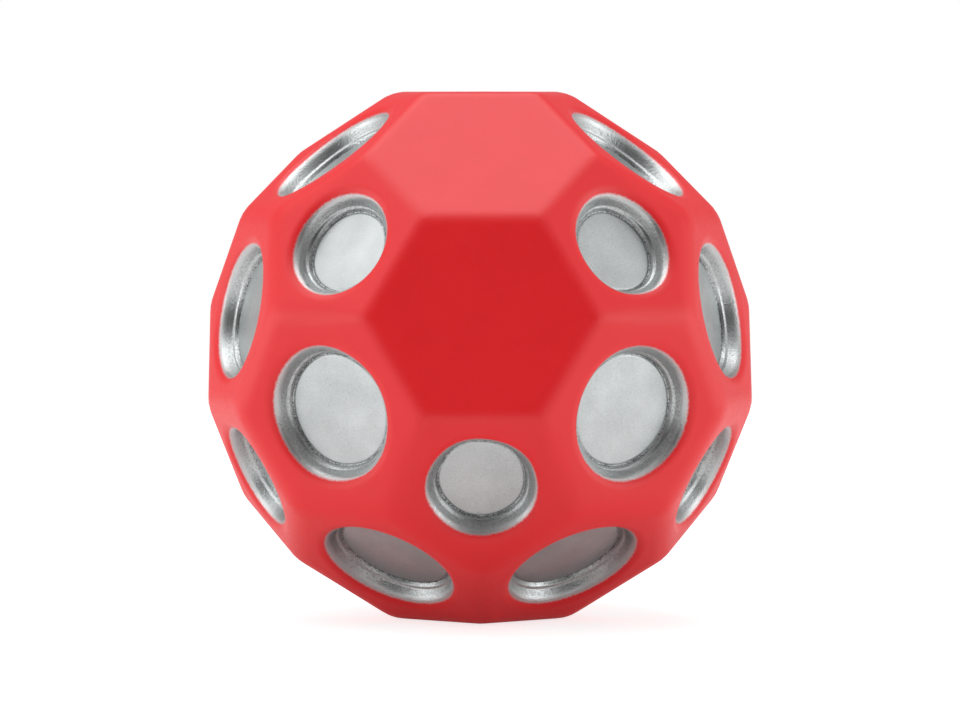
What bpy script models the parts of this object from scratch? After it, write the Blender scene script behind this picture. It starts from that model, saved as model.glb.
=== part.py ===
"""A faceted foam stress ball with silver craters.

The body is a truncated icosahedron that stands on a pentagon: 12 pentagon and 20 hexagon facets with
rounded edges. Every pentagon and 18 of the hexagons hold a shallow round crater. A foam core carries one
continuous red skin with a window over each crater, and each crater is lined by its own silver coat.

Metres, +Z up. The origin is the middle of the bottom pentagon's plane, and -Y is the front, where the two
plain hexagons are.
"""

import math

import bmesh
import bpy
from mathutils import Matrix, Vector

MM = 0.001

# The ball
BALL_HEIGHT = 65.0 * MM  # between the top and the bottom pentagon
EDGE_ROUND = 3.0 * MM  # radius along the edges between facets
LEAST_ROUND = 0.5 * MM  # of the core and of the skin's inside, whose edges are rounded less
EDGE_SEGMENTS = 2

# Layers, from the outside in
SKIN_THICKNESS = 0.8 * MM
COAT_THICKNESS = 0.5 * MM
BOND_GAP = 0.3 * MM  # between pieces that touch on the real ball

# Craters
SMALL_CRATER_RADIUS = 6.5 * MM  # at the silver edge, on the pentagons
LARGE_CRATER_RADIUS = 8.2 * MM  # at the silver edge, on the hexagons
CRATER_DEPTH = 2.7 * MM  # from the facet down to the floor
LIP_DROP = 0.4 * MM  # the silver edge lies this far below the facet
LIP_WIDTH = 0.9 * MM  # the red skin slopes down to the window over this width
WALL_SLANT = 0.7 * MM  # the crater is this much narrower where its wall meets the ledge
LEDGE_WIDTH = 0.65 * MM  # the narrow ring between the wall and the sunken floor
LEDGE_STEP = 0.5 * MM  # the floor lies this far below the ledge
STEP_SLANT = 0.2 * MM
CRATER_SIDES = 20

CUT_OVERRUN = 0.5 * MM  # how far a cutter reaches past what it cuts
WELD_DISTANCE = 0.001 * MM
SHARP_ANGLE = math.radians(35)

# An icosahedron of radius 1 that stands on a corner. Its faces become the hexagons, and its corners are
# cut off to make the pentagons.
ICO_FACE_DISTANCE = math.sqrt((5 + 2 * math.sqrt(5)) / 15)
ICO_EDGE = 1 / math.sin(math.radians(72))
FRONT_TURN = Matrix.Rotation(math.radians(18), 4, "Z")  # brings a lower pentagon to the front

# A truncated icosahedron with edges of length 1
PENTAGON_DISTANCE = math.sqrt((125 + 41 * math.sqrt(5)) / 10) / 2
HEXAGON_DISTANCE = math.sqrt(1.5 * (7 + 3 * math.sqrt(5))) / 2
HALF_FOLD = math.acos(math.sqrt(5) / 3) / 2  # half the angle between the normals of two hexagons

FACET_EDGE = BALL_HEIGHT / (2 * PENTAGON_DISTANCE)
BALL_CENTRE = Vector((0, 0, BALL_HEIGHT / 2))


def clear_scene():
    for obj in list(bpy.data.objects):
        bpy.data.objects.remove(obj, do_unlink=True)


def principled(name, colour, roughness, metallic):
    """A plain material; the colour is linear RGB."""
    material = bpy.data.materials.new(name)
    material.use_nodes = True
    shader = material.node_tree.nodes["Principled BSDF"]
    shader.inputs["Base Color"].default_value = (*colour, 1)
    shader.inputs["Roughness"].default_value = roughness
    shader.inputs["Metallic"].default_value = metallic
    material.diffuse_color = (*colour, 1)
    return material


def facet_normals():
    """The outward normals of the pentagons and of the hexagons, which are the directions of the corners
    and of the faces of the icosahedron. Each list runs from the top down and then round the ball."""
    ico = bmesh.new()
    bmesh.ops.create_icosphere(ico, subdivisions=1, radius=1, matrix=FRONT_TURN)
    pentagons = [v.co.normalized() for v in ico.verts]
    hexagons = [f.calc_center_median().normalized() for f in ico.faces]
    ico.free()

    def down_and_round(normal):
        return -round(normal.z, 3), round(math.atan2(normal.x, -normal.y) % math.tau, 3)

    return sorted(pentagons, key=down_and_round), sorted(hexagons, key=down_and_round)


def is_plain(normal):
    """The two hexagons without a crater face the front, one above the other."""
    return abs(normal.x) < 0.01 and normal.y < 0 and normal.z > 0


def to_mesh(name, bm, material=None):
    bmesh.ops.recalc_face_normals(bm, faces=bm.faces)
    mesh = bpy.data.meshes.new(name)
    bm.to_mesh(mesh)
    bm.free()
    if material:
        mesh.materials.append(material)
        mesh.shade_smooth()
        mesh.set_sharp_from_angle(angle=SHARP_ANGLE)
    return mesh


def ball_mesh(name, inset, material=None):
    """The closed faceted ball with every facet moved inwards by inset, and its edges rounded."""
    radius = (HEXAGON_DISTANCE * FACET_EDGE - inset) / ICO_FACE_DISTANCE
    corner_cut = (radius - (PENTAGON_DISTANCE * FACET_EDGE - inset)) / (ICO_EDGE / 2)
    setback = max(EDGE_ROUND - inset, LEAST_ROUND) * math.tan(HALF_FOLD)
    bm = bmesh.new()
    bmesh.ops.create_icosphere(bm, subdivisions=1, radius=radius, matrix=FRONT_TURN)
    bmesh.ops.bevel(
        bm, geom=bm.verts[:], offset=corner_cut, offset_type="OFFSET", segments=1, affect="VERTICES"
    )
    bmesh.ops.bevel(
        bm,
        geom=bm.edges[:],
        offset=setback,
        offset_type="OFFSET",
        segments=EDGE_SEGMENTS,
        profile=0.5,
        affect="EDGES",
    )
    bmesh.ops.translate(bm, verts=bm.verts, vec=BALL_CENTRE)
    return to_mesh(name, bm, material)


def turned_mesh(name, profile, material=None):
    """A closed solid of revolution about +Z. The profile's points (radius, height) run from the axis at
    the bottom, round the outside, back to the axis at the top."""
    bm = bmesh.new()
    points = [bm.verts.new((radius, 0, height)) for radius, height in profile]
    edges = [bm.edges.new(pair) for pair in zip(points, points[1:])]
    bmesh.ops.spin(
        bm,
        geom=points + edges,
        axis=(0, 0, 1),
        cent=(0, 0, 0),
        angle=math.tau,
        steps=CRATER_SIDES,
        use_merge=True,
    )
    bmesh.ops.remove_doubles(bm, verts=bm.verts, dist=WELD_DISTANCE)
    return to_mesh(name, bm, material)


def coat_profile(rim_radius):
    """The silver lining of one crater, with the facet's plane at height 0: a dish whose inside has a
    slanted wall, a narrow ledge and a sunken flat floor."""
    wall_foot = rim_radius - WALL_SLANT
    ledge_inside = wall_foot - LEDGE_WIDTH
    ledge_height = LEDGE_STEP - CRATER_DEPTH
    underside = -(CRATER_DEPTH + COAT_THICKNESS)
    return [
        (0, underside),
        (wall_foot + COAT_THICKNESS, underside),
        (rim_radius + COAT_THICKNESS, -LIP_DROP),
        (rim_radius, -LIP_DROP),
        (wall_foot, ledge_height),
        (ledge_inside, ledge_height),
        (ledge_inside - STEP_SLANT, -CRATER_DEPTH),
        (0, -CRATER_DEPTH),
    ]


def recess_profile(rim_radius):
    """What is cut from the foam core under one crater: the coat's outside with the bond gap round it."""
    clearance = COAT_THICKNESS + BOND_GAP
    floor = -(CRATER_DEPTH + clearance)
    top = rim_radius + clearance
    return [(0, floor), (top - WALL_SLANT, floor), (top, -LIP_DROP), (top, CUT_OVERRUN), (0, CUT_OVERRUN)]


def window_profile(rim_radius):
    """What is cut from the red skin over one crater: a round window whose edge slopes up to the facet."""
    window = rim_radius + COAT_THICKNESS + BOND_GAP
    inside = -(SKIN_THICKNESS + CUT_OVERRUN)
    slope = LIP_WIDTH / LIP_DROP
    return [
        (0, inside),
        (window, inside),
        (window, -LIP_DROP),
        (window + LIP_WIDTH + CUT_OVERRUN * slope, CUT_OVERRUN),
        (0, CUT_OVERRUN),
    ]


def facet_placement(normal, distance):
    """Puts a shape's height 0 on the facet, with its +Z along the facet's normal."""
    turn = Vector((0, 0, 1)).rotation_difference(normal).to_matrix().to_4x4()
    return Matrix.Translation(BALL_CENTRE + normal * distance) @ turn


def add_object(name, mesh, placement=None, cutters=None):
    """Adds a sub-part to the scene, or a hidden cutting shape to its collection of cutters."""
    obj = bpy.data.objects.new(name, mesh)
    (cutters or bpy.context.scene.collection).objects.link(obj)
    if placement:
        obj.matrix_world = placement
    if cutters:
        obj.hide_render = True
        obj.display_type = "WIRE"
    return obj


def cutter_collection(name):
    collection = bpy.data.collections.new(name)
    bpy.context.scene.collection.children.link(collection)
    return collection


def cut(obj, cutters):
    boolean = obj.modifiers.new(cutters.name, "BOOLEAN")
    boolean.operation = "DIFFERENCE"
    boolean.solver = "EXACT"
    boolean.operand_type = "COLLECTION"
    boolean.collection = cutters


clear_scene()
red_coat = principled("red_satin_coat", (0.80, 0.040, 0.045), 0.42, 0.0)
silver_paint = principled("silver_paint", (0.56, 0.57, 0.57), 0.36, 0.85)
cream_foam = principled("cream_foam", (0.82, 0.80, 0.74), 0.85, 0.0)

core = add_object("foam_core", ball_mesh("foam_core", SKIN_THICKNESS + BOND_GAP, cream_foam))
skin = add_object("red_skin", ball_mesh("red_skin", 0, red_coat))
hollow = cutter_collection("skin_hollow")
windows = cutter_collection("skin_windows")
recesses = cutter_collection("core_recesses")
add_object("hollow_cutter", ball_mesh("hollow_cutter", SKIN_THICKNESS), cutters=hollow)

pentagons, hexagons = facet_normals()
cratered_hexagons = [normal for normal in hexagons if not is_plain(normal)]
for size, rim_radius, normals, distance in (
    ("small", SMALL_CRATER_RADIUS, pentagons, PENTAGON_DISTANCE * FACET_EDGE),
    ("large", LARGE_CRATER_RADIUS, cratered_hexagons, HEXAGON_DISTANCE * FACET_EDGE),
):
    coat_mesh = turned_mesh(f"silver_crater_{size}", coat_profile(rim_radius), silver_paint)
    window_mesh = turned_mesh(f"window_cutter_{size}", window_profile(rim_radius))
    recess_mesh = turned_mesh(f"recess_cutter_{size}", recess_profile(rim_radius))
    for number, normal in enumerate(normals, start=1):
        at = facet_placement(normal, distance)
        add_object(f"silver_crater_{size}_{number:02d}", coat_mesh, at)
        add_object(f"window_cutter_{size}_{number:02d}", window_mesh, at, windows)
        add_object(f"recess_cutter_{size}_{number:02d}", recess_mesh, at, recesses)

cut(skin, hollow)
cut(skin, windows)
cut(core, recesses)
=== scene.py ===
"""A faceted foam stress ball with silver craters, in the order in which it is made: the foam body, the
silver lining of each crater, and the red coat over all the rest. Then the studio that it stands in."""

import itertools
import math

import bmesh
import bpy
import numpy as np
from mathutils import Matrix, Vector


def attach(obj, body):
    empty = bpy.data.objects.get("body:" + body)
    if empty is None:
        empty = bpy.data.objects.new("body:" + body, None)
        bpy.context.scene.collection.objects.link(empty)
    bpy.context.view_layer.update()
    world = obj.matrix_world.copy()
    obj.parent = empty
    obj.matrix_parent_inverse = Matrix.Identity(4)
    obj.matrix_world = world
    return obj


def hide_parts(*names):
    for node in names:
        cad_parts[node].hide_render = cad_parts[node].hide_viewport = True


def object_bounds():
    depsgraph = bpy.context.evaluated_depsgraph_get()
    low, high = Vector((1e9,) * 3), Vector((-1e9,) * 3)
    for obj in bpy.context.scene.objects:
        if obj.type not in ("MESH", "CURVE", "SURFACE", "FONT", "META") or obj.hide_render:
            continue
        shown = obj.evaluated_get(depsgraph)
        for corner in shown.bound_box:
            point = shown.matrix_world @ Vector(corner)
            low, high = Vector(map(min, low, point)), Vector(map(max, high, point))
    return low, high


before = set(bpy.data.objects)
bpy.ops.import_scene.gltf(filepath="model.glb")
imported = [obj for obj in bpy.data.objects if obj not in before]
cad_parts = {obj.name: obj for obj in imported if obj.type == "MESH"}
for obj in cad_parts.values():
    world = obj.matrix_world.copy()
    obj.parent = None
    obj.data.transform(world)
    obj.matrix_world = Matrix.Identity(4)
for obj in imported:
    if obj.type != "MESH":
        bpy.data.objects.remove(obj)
cad_low, cad_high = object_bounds()

# ---------------------------------------------------------------------------------------------------
# Foam body
# Soft polyurethane foam, cast in one piece in a closed mould. Its facets and its 30 recesses lie a
# little below the finished surface, and the two coats are bonded onto it.

MM = 0.001
BALL_HEIGHT = cad_high.z - cad_low.z  # from the bottom pentagon to the top one
BALL_CENTRE = np.array((cad_low + cad_high) / 2)
EDGE_ROUND = 5.5 * MM  # radius along the edges between cratered facets
CRISP_EDGE_ROUND = 3.2 * MM  # radius along the edges round the two plain facets
SKIN_THICKNESS = 0.8 * MM
COAT_THICKNESS = 0.5 * MM
BOND_GAP = 0.3 * MM
STEPS_PER_EDGE = 14  # points along each edge of a facet
CRISP_WITHIN = 24  # degrees from a plain facet's normal, up to which the edges have the crisp radius
SOFT_BEYOND = 36  # degrees, from which on they have the soft one
WELD_DISTANCE = 0.001 * MM
SLIVER = 0.0001 * MM  # edges shorter than this are dissolved
SHARP_ANGLE = math.radians(60)

PENTAGON_TILT = math.degrees(math.atan(0.5))  # of the pentagons that ring the ball, above or below level


def compass(azimuth, elevation):
    """The unit vector for angles in degrees: azimuth 0 faces the front, -Y, and azimuth 90 faces +X."""
    azimuth, elevation = np.radians(azimuth), np.radians(elevation)
    level = np.cos(elevation)
    return np.array([np.sin(azimuth) * level, -np.cos(azimuth) * level, np.sin(elevation)])


def make_facets():
    """The 32 facets of a truncated icosahedron that stands on a pentagon. Twelve axes point at the corners
    of an icosahedron. The ball's 60 corners lie a third of the way from each of these corners to each of
    its five neighbours. An axis is the normal of a pentagon, and the sum of three neighbouring axes that of
    a hexagon. Each facet has its normal, its distance from the centre, two axes across it, and for each
    side the side's outward normal, its distance from the facet's middle, and half the fold to the next
    facet."""
    ring = np.arange(5) * 72
    axes = [compass(0, 90), compass(0, -90)]
    axes += [compass(turn, -PENTAGON_TILT) for turn in ring]
    axes += [compass(turn + 36, PENTAGON_TILT) for turn in ring]
    axes = np.array(axes)
    neighbours = np.abs(axes @ axes.T - 1 / math.sqrt(5)) < 0.01
    first, second = np.nonzero(neighbours)
    corners = 2 * axes[first] + axes[second]
    corners *= BALL_HEIGHT / 2 / (2 + 1 / math.sqrt(5))
    normals = list(axes)
    for trio in itertools.combinations(range(12), 3):
        if neighbours[np.ix_(trio, trio)].sum() == 6:
            middle = axes[list(trio)].sum(0)
            normals.append(middle / np.linalg.norm(middle))
    normals = np.array(normals)
    heights = normals @ corners.T
    on_facet = heights > heights.max(1, keepdims=True) - WELD_DISTANCE
    facets = []
    for number, normal in enumerate(normals):
        own = np.nonzero(on_facet[number])[0]
        across = corners[own[0]] - normal * heights[number].max()
        across /= np.linalg.norm(across)
        along = np.cross(normal, across)
        own = own[np.argsort(np.arctan2(corners[own] @ along, corners[own] @ across))]
        after = np.roll(own, -1)
        shared = on_facet[:, own] & on_facet[:, after]
        shared[number] = False
        folds = np.arccos(normals[shared.argmax(0)] @ normal)
        middles = (corners[own] + corners[after]) / 2
        sides = np.stack([middles @ across, middles @ along], 1)
        side_distance = np.linalg.norm(sides, axis=1)
        facets.append(
            {
                "normal": normal,
                "distance": heights[number].max(),
                "axes": np.array([across, along, normal]),
                "sides": sides / side_distance[:, None],
                "side_distance": side_distance,
                "half_fold": folds / 2,
            }
        )
    return facets


def outline(facet, inset):
    """The corners of a facet that has been moved inwards by inset: each side comes in by the inset times
    the tangent of half its fold, and a corner is where two sides meet."""
    reach = facet["side_distance"] - inset * np.tan(facet["half_fold"])
    before = np.roll(facet["sides"], 1, axis=0)
    lines = np.stack([before, facet["sides"]], 1)
    return np.linalg.solve(lines, np.stack([np.roll(reach, 1), reach], 1)[..., None])[..., 0]


def fold_over_edges(facet, flat, radius):
    """Rounds a facet's flat points (..., 2) over its edges and gives (..., 3) in the facet's own axes, with
    height 0 on the facet. The radius is a pair: how far the facet of a smaller ball is moved inwards from
    the finished ball's, and the radius of the rounding. Each point goes to the nearest point of that
    smaller facet, and back out towards where it came from by the rounding radius."""
    start = outline(facet, radius[0])
    side = np.roll(start, -1, axis=0) - start
    offset = flat[..., None, :] - start
    share = np.clip((offset * side).sum(-1) / (side * side).sum(-1), 0, 1)
    on_side = start + share[..., None] * side
    gap = np.linalg.norm(flat[..., None, :] - on_side, axis=-1)
    nearest = np.take_along_axis(on_side, gap.argmin(-1)[..., None, None], axis=-2)[..., 0, :]
    reach = (start * facet["sides"]).sum(-1)
    inside = (flat @ facet["sides"].T <= reach).all(-1)
    nearest = np.where(inside[..., None], flat, nearest)
    away = np.concatenate([flat - nearest, np.full(flat.shape[:-1] + (1,), radius[1])], -1)
    away *= radius[1] / np.linalg.norm(away, axis=-1, keepdims=True)
    away[..., :2] += nearest
    away[..., 2] -= radius[1]
    return away


def smooth_step(value, start, end):
    """0 up to start, 1 from end on, and 3 t^2 - 2 t^3 of the way between them."""
    t = np.clip((value - start) / (end - start), 0, 1)
    return t * t * (3 - 2 * t)


def facet_surface(facet, flat, inset):
    """A facet's flat points (..., 2) on the rounded ball, in the facet's own axes. The edges turn from the
    crisp radius to the soft one with the angle from the nearest plain facet's normal."""
    sharp = np.concatenate([flat, np.full(flat.shape[:-1] + (1,), facet["distance"] - inset)], -1)
    toward = sharp @ facet["axes"] / np.linalg.norm(sharp, axis=-1, keepdims=True)
    nearness = (toward @ np.array(plain_normals).T).max(-1)
    crisp_end, soft_start = (-math.cos(math.radians(angle)) for angle in (CRISP_WITHIN, SOFT_BEYOND))
    softness = smooth_step(-nearness, crisp_end, soft_start)[..., None]
    crisp = fold_over_edges(facet, flat, (CRISP_EDGE_ROUND, CRISP_EDGE_ROUND - inset))
    soft = fold_over_edges(facet, flat, (EDGE_ROUND, EDGE_ROUND - inset))
    return crisp * (1 - softness) + soft * softness - np.array([0, 0, inset])


def rim_points(facet, inset):
    """Points in even steps along a facet's outline, the straight blend from each corner to the next."""
    corners = outline(facet, inset)
    step = np.arange(STEPS_PER_EDGE)[None, :, None] / STEPS_PER_EDGE
    rim = corners[:, None] * (1 - step) + np.roll(corners, -1, axis=0)[:, None] * step
    return rim.reshape(-1, 2)


def facet_rings(facet, inset, inner_radius, shares):
    """Rings of points on a rounded facet, from a circle round its middle out to its edges. A share of 0 is
    the circle and 1 is the facet's outline, and a ring is the straight blend of the two."""
    rim = rim_points(facet, inset)
    circle = inner_radius * rim / np.linalg.norm(rim, axis=1, keepdims=True)
    shares = np.asarray(shares)[:, None, None]
    return facet_surface(facet, circle * (1 - shares) + rim * shares, inset)


WAVE_FADE = 2 * MM  # the width outside the silver edge over which the crater's unevenness fades out


def turned_rings(facet, profile, wave=None):
    """Rings of points of a turned shape: each (radius, height) of the profile is carried round the facet's
    normal, at the same angles as the points on the facet's outline. A wave, in parts of the radius, makes
    the rings a little uneven. It fades out outside the crater's silver edge."""
    rim = rim_points(facet, 0)
    turn = rim / np.linalg.norm(rim, axis=1, keepdims=True)
    rings = np.empty((len(profile), len(turn), 3))
    rings[..., :2] = profile[:, None, :1] * turn
    rings[..., 2] = profile[:, 1:]
    if wave is not None:
        angle = np.arctan2(turn[:, 1], turn[:, 0])
        uneven = sum(size * np.sin(count * angle + phase) for count, size, phase in wave)
        fade = 1 - smooth_step(profile[:, 0], facet["rim_radius"], facet["rim_radius"] + WAVE_FADE)
        rings[..., :2] *= 1 + fade[:, None, None] * uneven[:, None]
    return rings


def rounded_line(corners, radii):
    """A polyline whose inner corners are arcs. An arc of the given radius touches both sides of its corner
    at radius times the tangent of half the turn, and has a point about every 6 degrees."""
    corners = np.array(corners, float)
    points = [corners[:1]]
    for before, corner, after, radius in zip(corners, corners[1:], corners[2:], radii):
        arrive = (corner - before) / np.linalg.norm(corner - before)
        leave = (after - corner) / np.linalg.norm(after - corner)
        turn = math.atan2(arrive[0] * leave[1] - arrive[1] * leave[0], arrive @ leave)
        setback = radius * math.tan(abs(turn) / 2)
        side = math.copysign(1, turn) * np.array([-arrive[1], arrive[0]])
        steps = np.linspace(0, abs(turn), max(3, round(abs(math.degrees(turn)) / 6)))[:, None]
        arc = corner - arrive * setback + radius * (arrive * np.sin(steps) + side * (1 - np.cos(steps)))
        points.append(arc)
    points.append(corners[-1:])
    return np.concatenate(points)


def closed_mesh(name, grids, marks=None):
    """One mesh from several grids of points (rings, around, 3), each closed round its second way and joined
    to its neighbours where they meet. marks names attributes, each with a number for each point of each
    grid."""
    vertices, quads, count = [], [], 0
    for points in grids:
        rings, around = points.shape[:2]
        index = count + np.arange(rings * around).reshape(rings, around)
        beside = np.roll(index, -1, axis=1)
        quads.append(np.stack([index[:-1], index[1:], beside[1:], beside[:-1]], -1).reshape(-1, 4))
        vertices.append(points.reshape(-1, 3))
        count += rings * around
    vertices, quads = np.concatenate(vertices), np.concatenate(quads)
    mesh = bpy.data.meshes.new(name)
    mesh.vertices.add(len(vertices))
    mesh.vertices.foreach_set("co", vertices.astype(np.float32).ravel())
    mesh.loops.add(quads.size)
    mesh.loops.foreach_set("vertex_index", quads.astype(np.int32).ravel())
    mesh.polygons.add(len(quads))
    mesh.polygons.foreach_set("loop_start", np.arange(0, quads.size, 4, dtype=np.int32))
    for mark, values in (marks or {}).items():
        values = np.concatenate([np.ravel(v) for v in values]).astype(np.float32)
        mesh.attributes.new(mark, "FLOAT", "POINT").data.foreach_set("value", values)
    mesh.update(calc_edges=True)
    bm = bmesh.new()
    bm.from_mesh(mesh)
    bmesh.ops.remove_doubles(bm, verts=bm.verts, dist=WELD_DISTANCE)
    bmesh.ops.dissolve_degenerate(bm, edges=bm.edges, dist=SLIVER)
    bmesh.ops.recalc_face_normals(bm, faces=bm.faces)
    bm.to_mesh(mesh)
    bm.free()
    mesh.shade_smooth()
    mesh.set_sharp_from_angle(angle=SHARP_ANGLE)
    return mesh


def placed(facet, points):
    """Takes points from a facet's own axes, with height 0 on the facet, to the ball's frame."""
    lifted = points + np.array([0, 0, facet["distance"]])
    return BALL_CENTRE + lifted @ facet["axes"]


def add_piece(name, mesh, material, slot, *nodes):
    """Adds a finished piece that stands for CAD nodes and moves with the one body."""
    piece = bpy.data.objects.new(name, mesh)
    bpy.context.scene.collection.objects.link(piece)
    mesh.materials.append(material)
    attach(piece, "root")
    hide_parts(*nodes)
    return piece


def linear(hex_colour):
    """A colour written as sRGB hex, as linear RGBA."""
    parts = [int(hex_colour[i : i + 2], 16) / 255 for i in (1, 3, 5)]
    return (*[c / 12.92 if c <= 0.04045 else ((c + 0.055) / 1.055) ** 2.4 for c in parts], 1)


def add_node(tree, kind, inputs=None, **settings):
    """Adds one node. settings are its properties, and inputs gives each socket, by name or number, a value
    or the output that feeds it."""
    made = tree.nodes.new(kind)
    for name, value in settings.items():
        setattr(made, name, value)
    for key, value in (inputs or {}).items():
        if isinstance(value, bpy.types.NodeSocket):
            tree.links.new(value, made.inputs[key])
        else:
            made.inputs[key].default_value = value
    return made


def new_material(name):
    """A material with an empty node tree."""
    material = bpy.data.materials.new(name)
    material.use_nodes = True
    material.node_tree.nodes.clear()
    return material, material.node_tree


def cream_polyurethane_foam():
    """Fine-celled cast foam, cells about 0.4 mm across: dull and cream, with painted shade in the open cells.
    """
    material, tree = new_material("cream_polyurethane_foam")
    place = add_node(tree, "ShaderNodeTexCoord").outputs["Object"]
    cells = add_node(
        tree,
        "ShaderNodeTexVoronoi",
        {"Vector": place, "Scale": 1 / (0.4 * MM)},
        feature="SMOOTH_F1",
    )
    # Painted shade: the colour darkens towards each cell's pit, where the bump sinks.
    colour = add_node(
        tree,
        "ShaderNodeMix",
        {"Factor": cells.outputs["Distance"], "A": linear("#CDBF9C"), "B": linear("#F2EAD3")},
        data_type="RGBA",
    )
    bump = add_node(
        tree,
        "ShaderNodeBump",
        {"Height": cells.outputs["Distance"], "Strength": 0.7, "Distance": 0.12 * MM},
    )
    shader = add_node(
        tree,
        "ShaderNodeBsdfPrincipled",
        {"Base Color": colour.outputs["Result"], "Normal": bump.outputs["Normal"]},
    )
    shader.inputs["Roughness"].default_value = 0.9
    shader.inputs["IOR"].default_value = 1.5
    add_node(tree, "ShaderNodeOutputMaterial", {"Surface": shader.outputs["BSDF"]})
    return material


facets = make_facets()
craters = {}
for node in sorted(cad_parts):
    if node.startswith("silver_crater"):
        points = np.array([v.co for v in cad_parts[node].data.vertices]) - BALL_CENTRE
        toward = points.mean(0)
        facet = max(facets, key=lambda f: f["normal"] @ toward)
        off_axis = points - np.outer(points @ facet["normal"], facet["normal"])
        facet["rim_radius"] = np.linalg.norm(off_axis, axis=1).max() - COAT_THICKNESS
        craters[node] = facet
plain_normals = [facet["normal"] for facet in facets if "rim_radius" not in facet]

RECESS_DEPTH = 3.5 * MM
RECESS_SLANT = 0.7 * MM  # a recess is this much narrower at its floor
RECESS_ROUND = 0.3 * MM  # radius between its floor and its wall
core_inset = SKIN_THICKNESS + BOND_GAP
core_grids = []
for facet in facets:
    if "rim_radius" in facet:
        mouth = facet["rim_radius"] + COAT_THICKNESS + BOND_GAP
        foot = mouth - RECESS_SLANT
        recess = rounded_line(
            [(0, -RECESS_DEPTH), (foot, -RECESS_DEPTH), (mouth, -core_inset)], [RECESS_ROUND]
        )
        core_grids.append(placed(facet, turned_rings(facet, recess)))
        rings = facet_rings(facet, core_inset, mouth, np.linspace(0, 1, 9))
    else:
        rings = facet_rings(facet, core_inset, 0, 1 - (1 - np.linspace(0, 1, 12)) ** 2)
    core_grids.append(placed(facet, rings))
foam_body = add_piece(
    "foam_body", closed_mesh("foam_body", core_grids), cream_polyurethane_foam(), "foam", "foam_core"
)

# ---------------------------------------------------------------------------------------------------
# Silver crater linings
# A paint with aluminium flakes, sprayed into the craters of the body. It lines the rounded lip, the steep
# wall, a narrow ledge and the sunken flat floor of each crater.

LIP_ROUND = 1.9 * MM  # radius of the lip, from the facet to the wall
WALL_TOP = 0.1 * MM  # where the wall's line meets the facet's plane, from the silver edge
WALL_FOOT = (-0.72 * MM, -1.85 * MM)  # from the silver edge, and below the facet
LEDGE_INSIDE = (-1.0 * MM, -2.03 * MM)
GROOVE = (-1.26 * MM, -2.56 * MM)  # the crease round the floor
FLOOR_EDGE = (-1.5 * MM, -2.42 * MM)
# The profile's radii, from the lip to the floor's edge
PROFILE_ROUNDS = [LIP_ROUND, 0.5 * MM, 0.35 * MM, 0.12 * MM, 0.5 * MM]
PROFILE_START = 2.5 * MM  # the profile starts on the flat facet, this far outside the silver edge
CREASE_REACH = 0.4 * MM  # how far from the groove the painted crease shade reaches
SHOULDER = 0.3 * MM  # under the lip, lining and skin part this far outside the silver edge
PAINT_FILM = 0.002 * MM  # the red lies over the silver by this much along the silver edge
FAR_FROM_EDGE = 9.0  # millimetres, the mark for surfaces that no spray reaches


def crater_profile(rim_radius):
    """The finished surface of a crater from the flat facet to the middle of the floor, the number of its
    point on the silver edge, and for each point its nearness to the groove, from 0 at the crease's reach
    to 1 in it: a rounded line through the lip, the wall, the ledge, the groove and the floor."""
    foot, ledge, groove, floor = (
        (rim_radius + out, height) for out, height in (WALL_FOOT, LEDGE_INSIDE, GROOVE, FLOOR_EDGE)
    )
    start = (rim_radius + PROFILE_START, 0)
    turn = (rim_radius + WALL_TOP, 0)
    corners = [start, turn, foot, ledge, groove, floor, (0, FLOOR_EDGE[1])]
    line = rounded_line(corners, PROFILE_ROUNDS)[1:]
    edge = np.searchsorted(-line[:, 0], -rim_radius)
    height = np.interp(-rim_radius, -line[:, 0], line[:, 1])
    line = np.insert(line, edge, (rim_radius, height), axis=0)
    crease = 1 - np.clip(np.linalg.norm(line - np.array(groove), axis=1) / CREASE_REACH, 0, 1)
    return line, edge, crease


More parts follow.
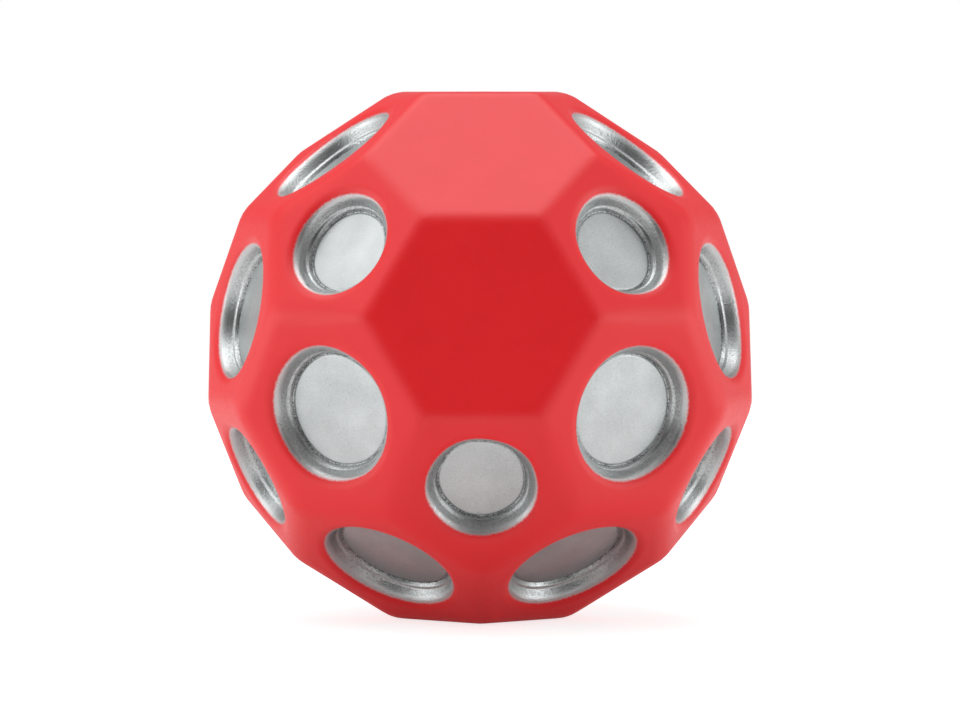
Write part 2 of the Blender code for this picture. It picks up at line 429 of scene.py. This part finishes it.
def silver_flake_paint():
    """Silver spray paint over moulded foam: aluminium flakes in a clear binder. It mirrors the room softly,
    and its grain and the foam's fine skin under it, here 0.22 mm, break the reflections up. The colour is
    darkened in the groove and, in specks, on the steep wall: painted shade for the shade that falls there."""
    material, tree = new_material("silver_flake_paint")
    place = add_node(tree, "ShaderNodeTexCoord").outputs["Object"]
    grain = add_node(
        tree, "ShaderNodeTexNoise", {"Vector": place, "Scale": 1 / (0.22 * MM), "Detail": 2.0}
    )
    cloud = add_node(
        tree, "ShaderNodeTexNoise", {"Vector": place, "Scale": 1 / (4 * MM), "Detail": 2.0}
    )
    blotch = add_node(
        tree,
        "ShaderNodeMath",
        {0: grain.outputs["Fac"], 1: cloud.outputs["Fac"]},
        operation="ADD",
    )
    colour = add_node(
        tree,
        "ShaderNodeMapRange",
        {"Value": blotch.outputs["Value"], "From Min": 0.6, "From Max": 1.4},
    )
    tint = add_node(
        tree,
        "ShaderNodeMix",
        {"Factor": colour.outputs["Result"], "A": linear("#B2B6B6"), "B": linear("#CDD1D1")},
        data_type="RGBA",
    )
    roughness = add_node(
        tree,
        "ShaderNodeMapRange",
        {"Value": grain.outputs["Fac"], "From Min": 0.3, "From Max": 0.7, "To Min": 0.27, "To Max": 0.41},
    )
    from_edge = add_node(tree, "ShaderNodeAttribute", attribute_name="from_edge")
    steep = add_node(
        tree,
        "ShaderNodeMapRange",
        {"Value": from_edge.outputs["Fac"], "From Min": 0.2, "From Max": 0.9, "To Min": 0.0, "To Max": 0.5},
        interpolation_type="SMOOTHSTEP",
    )
    above_floor = add_node(
        tree,
        "ShaderNodeMapRange",
        {"Value": from_edge.outputs["Fac"], "From Min": 2.2, "From Max": 2.7, "To Min": 1.0, "To Max": 0.0},
        interpolation_type="SMOOTHSTEP",
    )
    wall = add_node(
        tree,
        "ShaderNodeMath",
        {0: steep.outputs["Result"], 1: above_floor.outputs["Result"]},
        operation="MULTIPLY",
    )
    speck = add_node(
        tree,
        "ShaderNodeMapRange",
        {"Value": grain.outputs["Fac"], "From Min": 0.42, "From Max": 0.68},
    )
    speckled = add_node(
        tree,
        "ShaderNodeMath",
        {0: wall.outputs["Value"], 1: speck.outputs["Result"]},
        operation="MULTIPLY",
    )
    crease = add_node(tree, "ShaderNodeAttribute", attribute_name="crease")
    uneven = add_node(
        tree,
        "ShaderNodeMapRange",
        {"Value": blotch.outputs["Value"], "From Min": 0.85, "From Max": 1.15, "To Min": 0.1, "To Max": 0.9},
    )
    # Painted shade: the groove and, in specks, the steep wall are darkened towards #5E6262.
    painted_shade = add_node(
        tree,
        "ShaderNodeMath",
        {0: crease.outputs["Fac"], 1: uneven.outputs["Result"], 2: speckled.outputs["Value"]},
        operation="MULTIPLY_ADD",
    )
    silver_with_painted_shade = add_node(
        tree,
        "ShaderNodeMix",
        {"Factor": painted_shade.outputs["Value"], "A": tint.outputs["Result"], "B": linear("#5E6262")},
        data_type="RGBA",
    )
    dust = add_node(
        tree,
        "ShaderNodeMapRange",
        {"Value": from_edge.outputs["Fac"], "From Min": 0.0, "From Max": 0.2, "To Min": 0.25, "To Max": 0.0},
        interpolation_type="SMOOTHSTEP",
    )
    dusted = add_node(
        tree,
        "ShaderNodeMix",
        {"Factor": dust.outputs["Result"], "A": silver_with_painted_shade.outputs["Result"], "B": linear("#E0888A")},
        data_type="RGBA",
    )
    coarse = add_node(
        tree,
        "ShaderNodeMapRange",
        {"Value": from_edge.outputs["Fac"], "From Min": 1.0, "From Max": 2.2, "To Min": 0.9, "To Max": 0.0},
        interpolation_type="SMOOTHSTEP",
    )
    height = add_node(
        tree,
        "ShaderNodeMath",
        {0: grain.outputs["Fac"], 1: coarse.outputs["Result"]},
        operation="MULTIPLY",
    )
    bump = add_node(
        tree,
        "ShaderNodeBump",
        {"Height": height.outputs["Value"], "Strength": 0.8, "Distance": 0.07 * MM},
    )
    shader = add_node(
        tree,
        "ShaderNodeBsdfPrincipled",
        {
            "Base Color": dusted.outputs["Result"],
            "Roughness": roughness.outputs["Result"],
            "Normal": bump.outputs["Normal"],
        },
    )
    shader.inputs["Metallic"].default_value = 0.95
    add_node(tree, "ShaderNodeOutputMaterial", {"Surface": shader.outputs["BSDF"]})
    return material


silver = silver_flake_paint()
random = np.random.default_rng(12)
for node, facet in craters.items():
    rim_radius = facet["rim_radius"]
    # Three waves round the silver edge, each of at most 0.9% of the radius.
    facet["wave"] = [(count, random.uniform(0, 0.009), random.uniform(0, math.tau)) for count in (2, 3, 5)]
    profile, edge, crease = crater_profile(rim_radius)
    outside = rim_radius + COAT_THICKNESS
    hidden = np.array(
        [
            (0, -(RECESS_DEPTH - BOND_GAP)),
            (outside - RECESS_SLANT, -(RECESS_DEPTH - BOND_GAP)),
            (outside, -SKIN_THICKNESS),
            (rim_radius + SHOULDER, profile[edge, 1] - 0.03 * MM),
        ]
    )
    lined = profile[edge:] - np.array([0, PAINT_FILM])
    section = np.concatenate([hidden, lined])
    depth = np.concatenate([[0], np.cumsum(np.linalg.norm(np.diff(lined, axis=0), axis=1))]) / MM
    rings = turned_rings(facet, section, facet["wave"])
    around = np.ones((1, rings.shape[1]))
    marks = {
        "from_edge": [np.concatenate([[FAR_FROM_EDGE] * len(hidden), depth])[:, None] * around],
        "crease": [np.concatenate([[0.0] * len(hidden), crease[edge:]])[:, None] * around],
    }
    lining = closed_mesh(node, [placed(facet, rings)], marks)
    add_piece(node.replace("crater", "lining"), lining, silver, "silver_coat", node)

# ---------------------------------------------------------------------------------------------------
# Red skin
# The dense skin of the foam under a satin red coat, one continuous shell with 30 round windows. It rolls
# over each crater's lip, where the spray thins out over the silver.


def red_satin_coat():
    """Satin two-part polyurethane coat on foam skin, with a faint orange peel of about 0.5 mm. Along the
    crater lips the spray ends in fine droplets, and the silver under it shows through."""
    material, tree = new_material("red_satin_coat")
    place = add_node(tree, "ShaderNodeTexCoord").outputs["Object"]
    peel = add_node(
        tree, "ShaderNodeTexNoise", {"Vector": place, "Scale": 1 / (0.5 * MM), "Detail": 3.0}
    )
    cloud = add_node(
        tree, "ShaderNodeTexNoise", {"Vector": place, "Scale": 1 / (6 * MM), "Detail": 3.0}
    )
    spray = add_node(
        tree, "ShaderNodeTexNoise", {"Vector": place, "Scale": 1 / (0.2 * MM), "Detail": 2.0}
    )
    red = add_node(
        tree,
        "ShaderNodeMix",
        {"Factor": cloud.outputs["Fac"], "A": linear("#E81D23"), "B": linear("#F02127")},
        data_type="RGBA",
    )
    from_edge = add_node(tree, "ShaderNodeAttribute", attribute_name="from_edge")
    scatter = add_node(
        tree,
        "ShaderNodeMapRange",
        {"Value": spray.outputs["Fac"], "From Min": 0.3, "From Max": 0.7, "To Min": -0.08, "To Max": 0.08},
    )
    reach = add_node(
        tree,
        "ShaderNodeMath",
        {0: from_edge.outputs["Fac"], 1: scatter.outputs["Result"]},
        operation="ADD",
    )
    bare = add_node(
        tree,
        "ShaderNodeMapRange",
        {"Value": reach.outputs["Value"], "From Min": 0.0, "From Max": 0.42, "To Min": 1.0, "To Max": 0.0},
        interpolation_type="SMOOTHSTEP",
    )
    colour = add_node(
        tree,
        "ShaderNodeMix",
        {"Factor": bare.outputs["Result"], "A": red.outputs["Result"], "B": linear("#C6CACA")},
        data_type="RGBA",
    )
    metallic = add_node(
        tree, "ShaderNodeMath", {0: bare.outputs["Result"], 1: 0.95}, operation="MULTIPLY"
    )
    roughness = add_node(
        tree,
        "ShaderNodeMapRange",
        {"Value": peel.outputs["Fac"], "From Min": 0.3, "From Max": 0.7, "To Min": 0.38, "To Max": 0.46},
    )
    bump = add_node(
        tree,
        "ShaderNodeBump",
        {"Height": peel.outputs["Fac"], "Strength": 0.12, "Distance": 0.03 * MM},
    )
    shader = add_node(
        tree,
        "ShaderNodeBsdfPrincipled",
        {
            "Base Color": colour.outputs["Result"],
            "Metallic": metallic.outputs["Value"],
            "Roughness": roughness.outputs["Result"],
            "Normal": bump.outputs["Normal"],
        },
    )
    shader.inputs["IOR"].default_value = 1.47
    add_node(tree, "ShaderNodeOutputMaterial", {"Surface": shader.outputs["BSDF"]})
    return material


def run_to_end(line):
    """The distance of each of a line's points from its last point, measured along the line."""
    steps = np.linalg.norm(np.diff(line, axis=0), axis=1)
    return np.concatenate([np.cumsum(steps[::-1])[::-1], [0]])


skin_grids, skin_marks = [], []
for facet in facets:
    if "rim_radius" in facet:
        rim_radius = facet["rim_radius"]
        profile, edge, _ = crater_profile(rim_radius)
        lip = profile[: edge + 1]
        window = rim_radius + COAT_THICKNESS + BOND_GAP
        # The hidden underside stays round while the lining wavers, so on some hexagons the two cross there by
        # up to about 0.01 mm.
        under_lip = np.array(
            [
                (window, -SKIN_THICKNESS),
                (window, -0.78 * SKIN_THICKNESS),
                (rim_radius + SHOULDER, profile[edge, 1] - 0.02 * MM),
            ]
        )
        inner = facet_rings(facet, SKIN_THICKNESS, window, np.linspace(1, 0, 8))
        outer = facet_rings(facet, 0, lip[0, 0], np.linspace(0, 1, 15))
        rolled = turned_rings(facet, lip[::-1], facet["wave"])
        drop = rolled[..., 2:] * np.array([0, 0, 1])
        rolled = facet_surface(facet, rolled[..., :2], 0) + drop
        rings = np.concatenate([inner[:-1], turned_rings(facet, under_lip), rolled, outer[1:]])
        marks = np.full(rings.shape[:2], FAR_FROM_EDGE)
        first = len(inner) - 1 + len(under_lip)
        marks[first : first + len(lip)] = run_to_end(lip)[::-1, None] / MM
        skin_grids.append(placed(facet, rings))
        skin_marks.append(marks)
    else:
        shares = 1 - (1 - np.linspace(0, 1, 20)) ** 2
        for inset, some in ((0, shares), (SKIN_THICKNESS, shares[::-2])):
            rings = facet_rings(facet, inset, 0, some)
            skin_grids.append(placed(facet, rings))
            skin_marks.append(np.full(rings.shape[:2], FAR_FROM_EDGE))
add_piece(
    "red_coated_skin",
    closed_mesh("red_coated_skin", skin_grids, {"from_edge": skin_marks}),
    red_satin_coat(),
    "red_coat",
    "red_skin",
)

# ---------------------------------------------------------------------------------------------------
# Studio
# A glowing white acrylic table under a large soft box, with smaller boxes at the left, the right and the
# upper left. The room is bright at the sides and darkest behind the camera.

CAMERA_DISTANCE = 0.698
CAMERA_LENS = 211.4  # millimetres, on a sensor 36 mm wide
CAMERA_AZIMUTH = -0.4
CAMERA_ELEVATION = 2.9
AIM_BELOW_CENTRE = 0.68 * MM
TABLE_HALF_WIDTH = 0.45
TABLE_GAP = 0.05 * MM  # under the ball, so that the two never coincide

camera_data = bpy.data.cameras.new("camera")
camera_data.lens = CAMERA_LENS
camera_data.sensor_width = 36
camera_data.clip_start = 0.01
camera_data.clip_end = 50
camera = bpy.data.objects.new("camera", camera_data)
bpy.context.scene.collection.objects.link(camera)
aim = BALL_CENTRE - np.array([0, 0, AIM_BELOW_CENTRE])
toward_camera = compass(CAMERA_AZIMUTH, CAMERA_ELEVATION)
camera.location = aim + toward_camera * CAMERA_DISTANCE
sight = Vector(-toward_camera)
camera.rotation_euler = sight.to_track_quat("-Z", "Y").to_euler()
bpy.context.scene.camera = camera

floor_mesh = bpy.data.meshes.new("floor")
half = TABLE_HALF_WIDTH
floor_mesh.from_pydata(
    [(-half, -half, 0), (half, -half, 0), (half, half, 0), (-half, half, 0)], [], [(0, 1, 2, 3)]
)
floor = bpy.data.objects.new("floor", floor_mesh)
floor.location.z = -TABLE_GAP
bpy.context.scene.collection.objects.link(floor)
# Matt white acrylic, lit from below. In the light that it throws back on the ball, its glow fades towards the
# ball:
# a painted shadow of the ball. To the eye it is bright enough to merge with the white room.
floor_material, floor_tree = new_material("backlit_white_acrylic")
seen = add_node(floor_tree, "ShaderNodeLightPath").outputs["Is Camera Ray"]
table_place = add_node(floor_tree, "ShaderNodeTexCoord").outputs["Object"]
from_ball = add_node(floor_tree, "ShaderNodeVectorMath", {0: table_place}, operation="LENGTH")
# Painted shadow: the glow that the ball sees is dimmer within 70 mm of the table's middle, where the ball
# stands.
glow_with_painted_shadow = add_node(
    floor_tree,
    "ShaderNodeMapRange",
    {
        "Value": from_ball.outputs["Value"],
        "From Min": 0.02,
        "From Max": 0.07,
        "To Min": 0.12,
        "To Max": 0.32,
    },
    interpolation_type="SMOOTHSTEP",
)
albedo = add_node(floor_tree, "ShaderNodeMix", {"Factor": seen, "A": 0.7, "B": 0.55})
glow = add_node(floor_tree, "ShaderNodeMix", {"Factor": seen, "A": glow_with_painted_shadow.outputs["Result"], "B": 0.75})
floor_shader = add_node(
    floor_tree,
    "ShaderNodeBsdfPrincipled",
    {
        "Base Color": albedo.outputs["Result"],
        "Roughness": 0.9,
        "Specular IOR Level": 0.0,
        "Emission Color": linear("#FFFFFF"),
        "Emission Strength": glow.outputs["Result"],
    },
)
add_node(floor_tree, "ShaderNodeOutputMaterial", {"Surface": floor_shader.outputs["BSDF"]})
floor_mesh.materials.append(floor_material)


def add_soft_box(name, azimuth, elevation, distance, size, radiance):
    """A square area light that faces the ball. Its power is radiance times pi times its area."""
    data = bpy.data.lights.new(name, "AREA")
    data.size = size
    data.energy = radiance * math.pi * size**2
    light = bpy.data.objects.new(name, data)
    bpy.context.scene.collection.objects.link(light)
    toward = compass(azimuth, elevation)
    light.location = BALL_CENTRE + toward * distance
    light.rotation_euler = Vector(-toward).to_track_quat("-Z", "Y").to_euler()
    light.visible_camera = False


add_soft_box("top_soft_box", -155, 75, 1.0, 1.1, 1.75)
add_soft_box("left_soft_box", -80, 2, 0.45, 0.36, 0.7)
add_soft_box("right_soft_box", 80, 2, 0.45, 0.36, 0.85)
add_soft_box("upper_left_soft_box", -76, 45, 0.8, 0.36, 1.0)

# The room's brightness is a product of three ramps: to the front, to the back and upwards. To the eye it
# is plain white.
world = bpy.data.worlds.new("white_room")
world.use_nodes = True
world.node_tree.nodes.clear()
direction = add_node(world.node_tree, "ShaderNodeTexCoord").outputs["Generated"]
parts = add_node(world.node_tree, "ShaderNodeSeparateXYZ", {"Vector": direction})
front = add_node(
    world.node_tree,
    "ShaderNodeMapRange",
    {"Value": parts.outputs["Y"], "From Min": -0.98, "From Max": -0.2, "To Min": 0.05, "To Max": 2.0},
    interpolation_type="SMOOTHSTEP",
)
back = add_node(
    world.node_tree,
    "ShaderNodeMapRange",
    {"Value": parts.outputs["Y"], "From Min": 0.1, "From Max": 0.8, "To Min": 1.0, "To Max": 0.31},
    interpolation_type="SMOOTHSTEP",
)
above = add_node(
    world.node_tree,
    "ShaderNodeMapRange",
    {"Value": parts.outputs["Z"], "From Min": 0.0, "From Max": 0.4, "To Min": 1.0, "To Max": 0.42},
    interpolation_type="SMOOTHSTEP",
)
around_room = add_node(
    world.node_tree,
    "ShaderNodeMath",
    {0: front.outputs["Result"], 1: back.outputs["Result"]},
    operation="MULTIPLY",
)
room = add_node(
    world.node_tree,
    "ShaderNodeMath",
    {0: around_room.outputs["Value"], 1: above.outputs["Result"]},
    operation="MULTIPLY",
)
light_path = add_node(world.node_tree, "ShaderNodeLightPath")
brightness = add_node(
    world.node_tree,
    "ShaderNodeMix",
    {"Factor": light_path.outputs["Is Camera Ray"], "A": room.outputs["Value"], "B": 1.0},
)
background = add_node(
    world.node_tree,
    "ShaderNodeBackground",
    {"Color": linear("#FFFFFF"), "Strength": brightness.outputs["Result"]},
)
add_node(world.node_tree, "ShaderNodeOutputWorld", {"Surface": background.outputs["Background"]})
bpy.context.scene.world = world
bpy.context.scene.view_settings.view_transform = "Standard"
